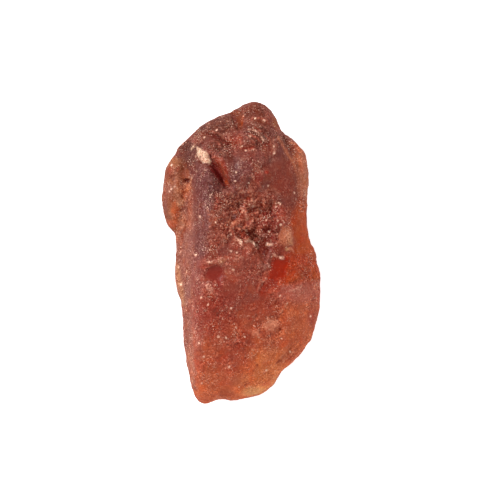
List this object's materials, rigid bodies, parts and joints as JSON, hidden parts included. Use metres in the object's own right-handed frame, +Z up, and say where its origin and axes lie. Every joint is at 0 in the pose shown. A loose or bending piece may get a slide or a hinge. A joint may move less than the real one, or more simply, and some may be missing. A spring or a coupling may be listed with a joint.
{
  "type": "rough garnet",
  "caption": "Uncut, water-worn garnet crystal fragment: an elongated blocky pebble with rounded ridges, a side lobe, a slot pit and a crumbled hollow, lying on its flat-broken back.",
  "frame": {"origin": "on the surface that the stone lies on, below the middle of its bounding box", "axes": "+Z up from the rest face to the front of the stone; +Y along the stone to its knobbed end; +X across it"},
  "size_m": [0.0104, 0.02, 0.0077],
  "materials": {
    "garnet": "frosted, translucent orange-red natural surface"
  },
  "bodies": {
    "root": {"rough_garnet": "garnet"}
  },
  "joints": []
}
